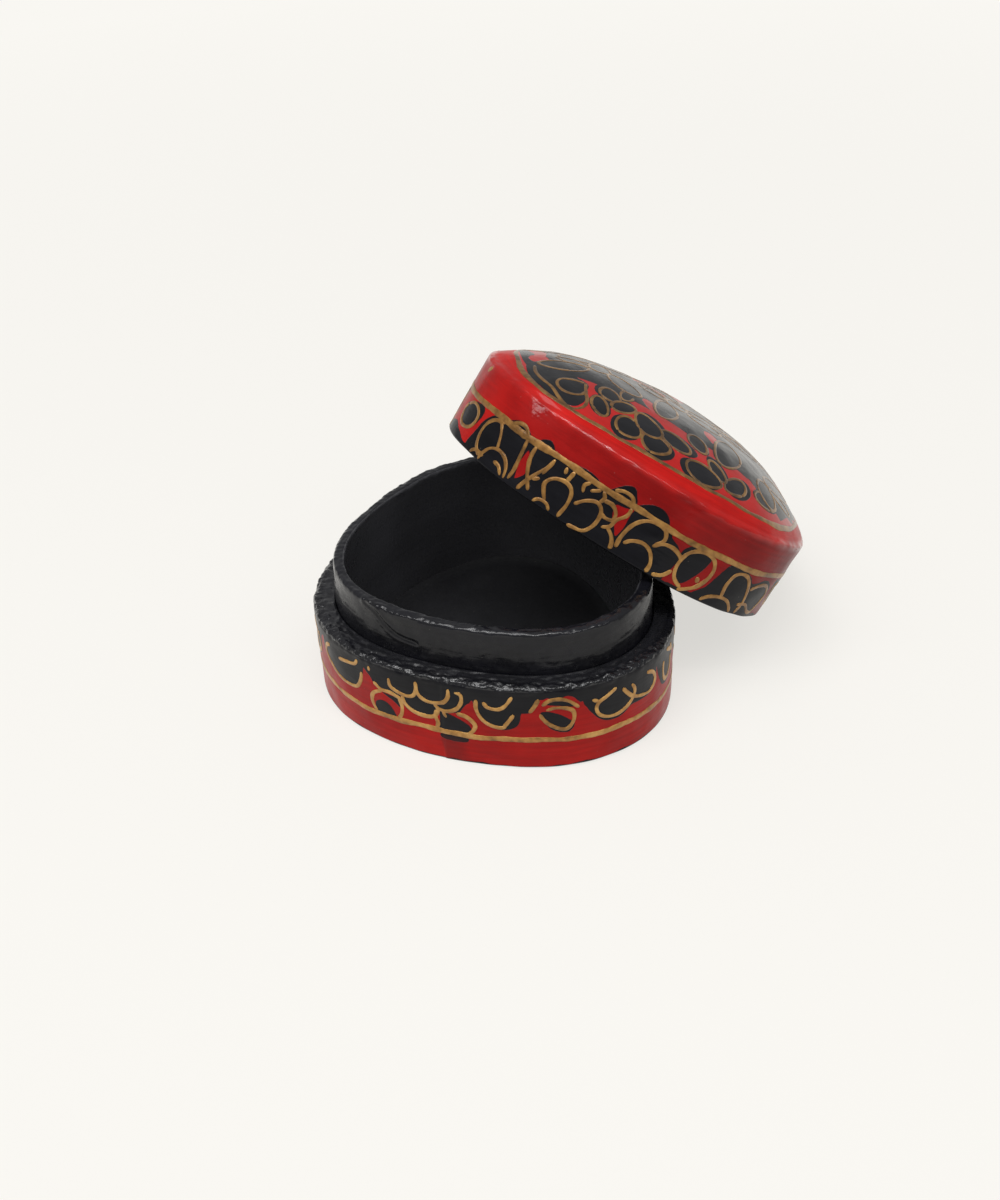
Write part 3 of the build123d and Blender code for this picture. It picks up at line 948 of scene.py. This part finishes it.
red_side = painted_lacquer("red_and_black_lacquer", "#AA120F", "#CA1A14", 0.25, 0.08, 0.8)
red_crown = painted_lacquer("red_and_black_lacquer_crown", "#A81311", "#BE1915", 0.85, 0.24)
neck_black = black_lacquer("black_lacquer_neck", "#0E0E12", "#17171D", (0.22, 0.42), (1.6, 0.07, 0.6, 4.0),
                           0.32, 0.09, 1.0)
ledge_black = black_lacquer("black_lacquer_ledge", "#0E0E11", "#17171C", (0.2, 0.35), (1.1, 0.34, 1.0, 1.8),
                            0.85, 0.09)
inside_black = black_lacquer("black_lacquer_inside", "#131315", "#19191B", (0.5, 0.7), (1.4, 0.02, 0.6, 4.0),
                             0.08, 0.3)
# One bronze paint in three copies, the lid's darker and the crown's darker still as painted shade; the
# crown's also lies under thicker varnish
bronze = bronze_paint("bronze_brush_paint", "#845C25", "#B6833E", "#D6A55A", 0.3, 0.15)
bronze_lid_shaded = bronze_paint("bronze_brush_paint_lid_shaded", "#704C1D", "#9A6D33", "#BC8D49", 0.3, 0.15)
bronze_crown_shaded = bronze_paint("bronze_brush_paint_crown_shaded", "#5E4015", "#865D29", "#A87C3C", 0.85, 0.24)


# Base

# Sections round each piece, and steps along a line that runs round
BAND_ROWS, NECK_ROWS, BOARD_ROWS, DOME_ROWS, LINE_STEP = 880, 800, 300, 760, 0.35
GLUE_GAP = 0.1
# How far in from the outline the band's foot ends and the floor board begins
FOOT_INSET, BOARD_INSET = 1.3, 1.45
# Heights of the bronze line and of the edge where the ledge's black begins
GOLD_HEIGHT, PAINT_EDGE = 6.4, LEDGE_HEIGHT - 1.8


def finish_piece(piece, body, slot, material, *nodes):
    """Gives a piece its finish, ties it to its body and hides the construction nodes it stands in for."""
    piece.data.materials.append(material)
    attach(piece, body)
    if nodes:
        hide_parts(*nodes)


def base_band():
    """The base's outer band: its face, the worn edge, the rough ledge and the hidden side by the neck.

    Where the band's end laps over its start the face steps out a little and the red is worn and dark.
    """
    inner, seat, foot = -(LEDGE_WIDTH - GLUE_GAP), FLOOR_THICKNESS + 0.1, 0.12
    path = section(
        [(-FOOT_DRAW_IN, foot), (0, LEDGE_HEIGHT), (inner, LEDGE_HEIGHT), (inner, seat), (-FOOT_INSET, seat),
         (-FOOT_INSET, foot)],
        [0.35, 1.3, 0, 0, 0, 0], [0.3, 0.16, 2.0, 1.0, 1.0, 0.5])
    points, brushed, run, up = carried(path, BAND_ROWS)
    out, height = path.T
    worn = smooth_step(LEDGE_HEIGHT - 1.7, LEDGE_HEIGHT - 0.3, up)
    rubbed = 0.72 + 0.28 * smooth_step(-3.0, -1.6, out)
    rough = 0.11 * streaks(brushed, 3.2, 0.75, 31, 26)
    rough = rough + waves(points, (0.10, 1.9, 32, 22), (0.06, 0.95, 34, 26))
    wave = waves(points, *BASE_WAVES) + worn * (waves(points, (0.14, 6, 33)) + rubbed * rough)
    moving = (out > inner + 0.2) & (height > 0.1)
    points = stood_off(path, run, up, (wave + lap_step(run)) * moving)
    points[..., 2] = np.maximum(points[..., 2], 0.05)
    black = ground_depth(base_grounds, run, up)
    black = np.maximum(black, up - PAINT_EDGE - waves(points, (0.45, 5, 41), (0.25, 1.5, 42)))
    black = np.maximum(black, np.where(out > -FOOT_DRAW_IN - 0.2, -DEPTH_LIMIT, DEPTH_LIMIT))
    # The black runs about half a millimetre up the side from the foot, a dark line along the bottom edge
    black = np.maximum(black, 0.5 + waves(points, (0.2, 4, 43)) - up)
    past_lap = run - LAP_PLACE + waves(points, (0.5, 2.5, 44))
    lap = smooth_step(-0.3, 0.4, past_lap) * smooth_step(5.6, 2.5, past_lap) * smooth_step(6.2, 4.5, up)
    calm = np.broadcast_to(CALM_BLACK * smooth_step(-1.4, -2.4, out), up.shape)
    piece = closed_band("base_band", points, {
        "black": np.clip(black, -DEPTH_LIMIT, DEPTH_LIMIT), "brushed": brushed, "lap": lap, "inside": calm})
    finish_piece(piece, "base", "red_lacquer", red_side, "base_wall")
    piece.data.materials.append(ledge_black)
    quads = grid_faces(BAND_ROWS, len(path), True)
    on_ledge = (up.ravel()[quads] > LEDGE_HEIGHT - 0.75).all(1)
    piece.data.polygons.foreach_set("material_index", on_ledge.astype(np.int32))


def base_board():
    """The floor board: flat, a pulp fillet rising a little to the neck, its edge hidden behind the band."""
    neck_inset, fillet, fillet_rise = LEDGE_WIDTH + NECK_THICKNESS, 2.6, 0.9
    share = np.linspace(0.02, 1, 70) ** 0.8
    angle = angle_at(np.arange(BOARD_ROWS) * PERIMETER / BOARD_ROWS)[:, None]
    x, y = plan_point(angle, BOARD_INSET)
    top = np.stack([x * share, y * share, 0 * x + FLOOR_THICKNESS + 0 * share], -1)
    away = (1 - share) * np.hypot(x, y) + BOARD_INSET - neck_inset
    rise = fillet_rise * np.clip(1 - away / fillet, 0, 1) ** 2
    top[..., 2] += waves(top, (0.08, 12, 51), (0.02, 3, 52)) - 0.05 + np.where(away > -1, rise, 0)
    bottom = np.stack([x * share[::-1], y * share[::-1], 0 * x + 0 * share], -1)
    points = np.concatenate([top, bottom], 1)
    calm = np.full(points.shape[:2], CALM_BLACK)
    piece = closed_disc("base_board", points, {"inside": calm, "brushed": points})
    finish_piece(piece, "base", "red_lacquer", inside_black, "base_floor")


# The neck's one deep crease, as run and height along the neck
CREASE = smooth_path([(124.9, 26.4), (128.2, 25.4), (130.7, 23.5), (133.8, 22.1), (137.8, 21.6)])


def neck_band():
    """The neck: a band of board bent round inside the base, creased by hand, with a rough top edge."""
    outer, inner, foot = -LEDGE_WIDTH, -(LEDGE_WIDTH + NECK_THICKNESS), FLOOR_THICKNESS + 0.05
    path = section(
        [(outer, foot), (outer, LEDGE_HEIGHT), (outer - NECK_DRAW_IN, NECK_TOP), (inner, NECK_TOP),
         (inner, foot)],
        [0, 0, 0.95, 0.6, 0], [2.0, 0.24, 0.16, 0.45, 0.8])
    points, brushed, run, up = carried(path, NECK_ROWS)
    outward = path[:, 0] > outer - 0.9
    shown = smooth_step(LEDGE_HEIGHT - 0.5, LEDGE_HEIGHT + 1.0, up) * outward
    edge = smooth_step(NECK_TOP - 1.0, NECK_TOP - 0.1, up)
    fold = np.abs(hand_wave(points * [1, 1, 0.6], 9, 64, 8)) ** 0.6
    brush = streaks(brushed, 4.0, 0.9, 67, 24)
    away = np.hypot(run[..., None] - CREASE[:, 0], up[..., None] - CREASE[:, 1]).min(-1)
    creased = 0.10 * bell(away, 0.8, 0.5) - 0.16 * bell(away, 0.0, 0.35)
    wave = waves(points, (0.12, 13, 61)) + shown * (0.018 * brush - 0.07 * (1 - fold))
    wave = wave + outward * (waves(points, (0.04, 4, 62)) + creased)
    wave = wave + edge * (0.06 * brush + waves(points, (0.05, 1.2, 65, 20), (0.06, 4, 66)))
    points = stood_off(path, run, up, wave)
    points[..., 2] = np.where(up > 3, points[..., 2], up)
    inward = np.broadcast_to(path[:, 0] < inner + 0.3, up.shape).astype(float)
    piece = closed_band("neck_band", points, {"inside": inward, "brushed": brushed, "pooled": 0.7 * edge})
    finish_piece(piece, "base", "black_lacquer", neck_black, "base_neck")


def line_round(height, *swings):
    """A line once round a band at a height, swinging up and down: a sum of sines as rise, times and start."""
    run = np.arange(0, PERIMETER, LINE_STEP)
    turn = 2 * np.pi * run / PERIMETER
    up = height + sum(rise * np.sin(turn * times + start) for rise, times, start in swings)
    return np.stack([run, up], -1)


def base_bronze():
    """The base's bronze work: the line round the band and the petals' outlines."""
    lines = [(line_round(GOLD_HEIGHT, (0.22, 3, 1), (0.14, 11, 2), (0.06, 29, 0)), 1.2, 0.06, True)]
    lines += [(path, 0.8, 0.065, False) for path in base_strokes]
    piece = brush_lines("base_bronze_lines", base_side, upright, lines)
    finish_piece(piece, "base", "red_lacquer", bronze)


base_grounds, base_strokes = motifs_round(BASE_MOTIFS, BASE_AGAIN, BASE_FIRST)
base_band()
base_board()
neck_band()
base_bronze()


# Lid

# How far in the seam of side and crown lies before it is drawn to the bronze oval, which hides it
SEAM_INSET, LID_GOLD_HEIGHT = 3.0, 9.4
# Run and half width of the patch pressed into the side, of the wider black at the rim and of the round
# corner, which is left without the painted shade under the arris
PRESSED, RIM_BLACK, ROUND_CORNER = (58.0, 4.4), (39.0, 4.5), (46.0, 9.0)


def lid_band():
    """The lid's side, the sloping border over its lumpy arris, the rim and the hidden inside."""
    border_up = SIDE_HEIGHT + CROWN_RISE * (1 - (1 - SEAM_INSET / MEAN) ** CROWN_FULLNESS)
    path = section(
        [(0, 0), (SIDE_FLARE, SIDE_HEIGHT), (-SEAM_INSET, border_up), (-SEAM_INSET, border_up - 0.6),
         (-SIDE_THICKNESS, SIDE_HEIGHT - 1.6), (-SIDE_THICKNESS, 0)],
        [0.4, 0.6, 0, 0, 0, 0.4], [0.32, 0.24, 0.3, 1.0, 1.0, 0.5])
    points, brushed, run, up = carried(path, BAND_ROWS)
    out, height = path.T
    side = (out > 0.1 - SIDE_THICKNESS) & (height > -0.1)
    on_side = side * smooth_step(SIDE_HEIGHT + 0.5, SIDE_HEIGHT - 0.4, up)
    arris = side * smooth_step(SIDE_HEIGHT - 1.3, SIDE_HEIGHT - 0.2, up) * smooth_step(
        SIDE_HEIGHT + 0.9, SIDE_HEIGHT + 0.3, up)
    lumps = waves(points, (0.045, 2.4, 82, 20), (0.05, 6, 83)) + 0.03 * streaks(brushed, 2.0, 0.7, 84, 24)
    pressed = bell(run, *PRESSED) * smooth_step(SIDE_HEIGHT - 6, SIDE_HEIGHT + 1.5, up) ** 2
    moved = waves(points, *LID_WAVES) * on_side + lumps * arris - 0.5 * pressed * side
    in_by = np.where(height > SIDE_HEIGHT - 1, np.clip(-out, 0, SEAM_INSET), 0)
    to_oval = (oval_inset(angle_at(run)) - SEAM_INSET) * smooth_step(0.6, SEAM_INSET, in_by)
    points = stood_off(path, run, up, moved, to_oval)
    # The border follows the crown, and the hidden slope under it stays below
    on_top = lid_top(points[..., 0], points[..., 1])
    slope = (border_up - SIDE_HEIGHT) / (SIDE_FLARE + SEAM_INSET)
    on_border = height > SIDE_HEIGHT + slope * (SIDE_FLARE - out) - 0.2
    blend = (smooth_step(SIDE_HEIGHT + 0.3, SIDE_HEIGHT + 0.95, up) * on_border)[..., None]
    points = points * (1 - blend) + on_top * blend
    under_top = (height > SIDE_HEIGHT + 0.3) & ~on_border
    points[..., 2] = np.where(under_top, np.minimum(points[..., 2], on_top[..., 2] - 0.5), points[..., 2])
    # The black along the rim is wider on the left, below the ring
    rim_black = 0.7 + 1.9 * bell(run, *RIM_BLACK) + waves(points, (0.3, 4, 81))
    black = np.maximum(ground_depth(lid_grounds, run, up), rim_black - up)
    hidden = (np.arange(len(path)) > np.argmax(height)) | (out < 0.1 - SIDE_THICKNESS)
    black = np.where(hidden, DEPTH_LIMIT, np.where(up > 13.5, -DEPTH_LIMIT, black))
    # Painted shade: the red under the arris is darkened as if in shade, but for the round corner at the
    # front, painted as lit
    painted_shade = smooth_step(SIDE_HEIGHT + 0.2, SIDE_HEIGHT - 1.2, up + waves(points, (0.5, 5, 85)))
    painted_shade = 0.9 * painted_shade * (1 - 0.85 * bell(run, *ROUND_CORNER))
    piece = closed_band("lid_band", leaning(points), {
        "black": np.clip(black, -DEPTH_LIMIT, DEPTH_LIMIT), "brushed": brushed, "painted_shade": painted_shade,
        "pooled": np.maximum(arris, pressed)})
    finish_piece(piece, "lid", "red_lacquer", red_side, "lid_skirt")


def lid_dome():
    """The crown inside the bronze oval: domed outside, hollow inside, on a grid of rings round its middle."""
    angle = angle_at(np.arange(DOME_ROWS) * PERIMETER / DOME_ROWS)[:, None]
    edge = 1 - (oval_inset(angle) - 0.2) / (plan_radius(angle) + SIDE_FLARE)
    share = edge * np.concatenate([[0.012], np.linspace(0.03, 1, 96)])
    x, y = plan_point(angle, -SIDE_FLARE)
    top_x, top_y = x * share, y * share
    top = lid_top(top_x, top_y)
    top[..., 2] -= 0.04 * smooth_step(0.97, 1.0, share / edge)
    black_top = np.maximum(painted(petals_on_crown, top_x, top_y), middle_ground(top_x, top_y))
    black_top = np.maximum(black_top, depth_in_ground(GREAT_GROUND, top_x, top_y))
    # The underside has every sixth ring, from the edge back to the middle
    way_out = np.clip(share[:, ::-6] / (1 - SIDE_THICKNESS / MEAN), 0, 1)
    under_up = SIDE_HEIGHT + (CROWN_RISE - CROWN_THICKNESS) * (1 - way_out ** CROWN_FULLNESS)
    under_up = np.minimum(under_up, top[:, ::-6, 2] - 0.5)
    under = np.stack([top_x[:, ::-6], top_y[:, ::-6], under_up], -1)
    points = np.concatenate([top, under], 1)
    black = np.concatenate([black_top, np.full(under_up.shape, DEPTH_LIMIT)], 1)
    piece = closed_disc("lid_dome", leaning(points), {
        "black": np.clip(black, -DEPTH_LIMIT, DEPTH_LIMIT), "brushed": points})
    finish_piece(piece, "lid", "red_lacquer", red_crown, "lid_crown")


def lid_bronze():
    """The lid's bronze work: line and petals on the side, oval and petals on the crown.

    The line is broader over the pressed patch, and the oval where the brush was pressed at two corners.
    """
    path = line_round(LID_GOLD_HEIGHT, (0.2, 4, 0), (0.12, 13, 2))
    run = path[:, 0]
    lines = [(path, 1.12 + 0.35 * bell(run, 57.0, 6.0), 0.06, True)]
    lines += [(path[path[:, 1] > 0.25], 0.76, 0.06, False) for path in lid_strokes]
    lines.append((smooth_path([(40.3, 13.9), (40.9, 14.6), (41.7, 15.0)]), 0.9, 0.05, False))
    side = brush_lines("lid_side_bronze_lines", lid_side, leaning, lines)
    finish_piece(side, "lid", "red_lacquer", bronze_lid_shaded)
    angle = angle_at(run)
    wander = 0.06 * np.sin(9 * angle) + 0.05 * np.sin(23 * angle + 1)
    oval = np.stack(plan_point(angle, oval_inset(angle) + wander), -1)
    turned = np.degrees(angle)
    width = 0.85 + 0.45 * bell(turned, 76, 9) + 0.5 * bell(turned, 185, 10)
    lines = [(oval, width, 0.05, True)]
    lines += petal_lines(petals_on_crown, 0.62, 0.05, inside_oval, 73)
    lines += [(smooth_path(path), 0.66, 0.05, False) for path in GREAT_STROKES]
    crown = brush_lines("lid_crown_bronze_lines", lid_top, leaning, lines)
    finish_piece(crown, "lid", "red_lacquer", bronze_crown_shaded)


lid_grounds, lid_strokes = motifs_round(LID_MOTIFS, LID_AGAIN, LID_FIRST)
petals_on_crown = crown_petals()
lid_band()
lid_dome()
lid_bronze()


# Floor, light and camera

def stage_floor():
    """A pale matt floor, flat and 6 m wide."""
    half = 3.0
    corners = [(-half, -half, 0), (half, -half, 0), (half, half, 0), (-half, half, 0)]
    mesh = bpy.data.meshes.new("floor")
    mesh.from_pydata(corners, [], [(0, 1, 2, 3)])
    floor = bpy.data.objects.new("floor", mesh)
    bpy.context.scene.collection.objects.link(floor)
    made, tree, place = new_material("pale_card_floor")
    # Camera and gloss see pale card that keeps the object's shadow; as light the card gives back a quarter
    shaded = add(tree, "BsdfDiffuse", {"Color": paint("#F0EEE9")})
    flat = add(tree, "Emission", {"Color": paint("#F9F7F2"), "Strength": 1.0})
    away = add(tree, "VectorMath", [place], operation="LENGTH").outputs["Value"]
    even = add(tree, "MapRange", [away, 0.12, 0.5, 0.7, 1.0])
    card = add(tree, "MixShader", [even, shaded, flat])
    giving = add(tree, "BsdfDiffuse", {"Color": paint("#8A8885")})
    rays = add(tree, "LightPath").outputs
    seen = add(tree, "Math", [rays["Is Camera Ray"], rays["Is Glossy Ray"]], operation="MAXIMUM")
    mixed = add(tree, "MixShader", [seen, giving, card])
    add(tree, "OutputMaterial", {"Surface": mixed})
    mesh.materials.append(made)


def room_light():
    """A plain pale room: white to the camera, a third as bright as light and in the gloss."""
    world = bpy.data.worlds.new("room")
    bpy.context.scene.world = world
    world.use_nodes = True
    tree = world.node_tree
    tree.nodes.clear()
    plain = add(tree, "Background", {"Color": paint("#FFFFFF"), "Strength": 0.32})
    white = add(tree, "Background", {"Color": paint("#F9F7F2"), "Strength": 1.0})
    seen = add(tree, "LightPath").outputs["Is Camera Ray"]
    add(tree, "OutputWorld", {"Surface": add(tree, "MixShader", [seen, plain, white])})


def set_down(made, place, right, above):
    """Puts a lamp or the camera at a place in metres, with the directions of its right and its up."""
    turned = np.stack([right, above, np.cross(right, above)], -1)
    made.matrix_world = Matrix.Translation(place) @ Matrix(turned.tolist()).to_4x4()
    bpy.context.scene.collection.objects.link(made)


LAMP_AIM = np.array([0.01, 0, 0.02])


def softbox(name, place, size, power, turn=0.0, aim=LAMP_AIM):
    """A soft lamp of a width and a height in metres, facing its aim, turned in its own plane in degrees."""
    data = bpy.data.lights.new(name, "AREA")
    data.shape, data.size, data.size_y, data.energy = "RECTANGLE", size[0], size[1], power
    back = (np.array(place) - aim) / np.linalg.norm(np.array(place) - aim)
    right = np.cross([0, 0, 1], back)
    right = right / np.linalg.norm(right)
    above = np.cross(back, right)
    c, s = np.cos(np.radians(turn)), np.sin(np.radians(turn))
    set_down(bpy.data.objects.new(name, data), place, c * right + s * above, c * above - s * right)


def photo_camera():
    """The camera where the fit puts it, with the photograph's field of view."""
    data = bpy.data.cameras.new("camera")
    data.sensor_fit, data.sensor_height, data.sensor_width = "VERTICAL", 36.0, 36.0
    data.lens = data.sensor_height * FOCAL_PIXELS / IMAGE_HEIGHT
    data.clip_start, data.clip_end = 0.01, 20
    camera = bpy.data.objects.new("camera", data)
    set_down(camera, np.array(CAMERA_PLACE) * MM, CAMERA_RIGHT, CAMERA_UP)
    bpy.context.scene.camera = camera


stage_floor()
room_light()
softbox("overhead_softbox", (-0.48, -0.38, 1.60), (1.4, 1.4), 15.6)
softbox("lid_strip", (0.02, -0.42, 1.00), (1.64, 0.035), 2.6, -45.0)
softbox("base_strip", (-0.13, -0.40, 1.00), (1.85, 0.04), 3.0)
softbox("left_softbox", (-1.08, -0.03, 0.90), (0.12, 0.12), 0.45, aim=np.array([0, 0, 0.02]))
photo_camera()
bpy.context.scene.view_settings.view_transform = "Standard"
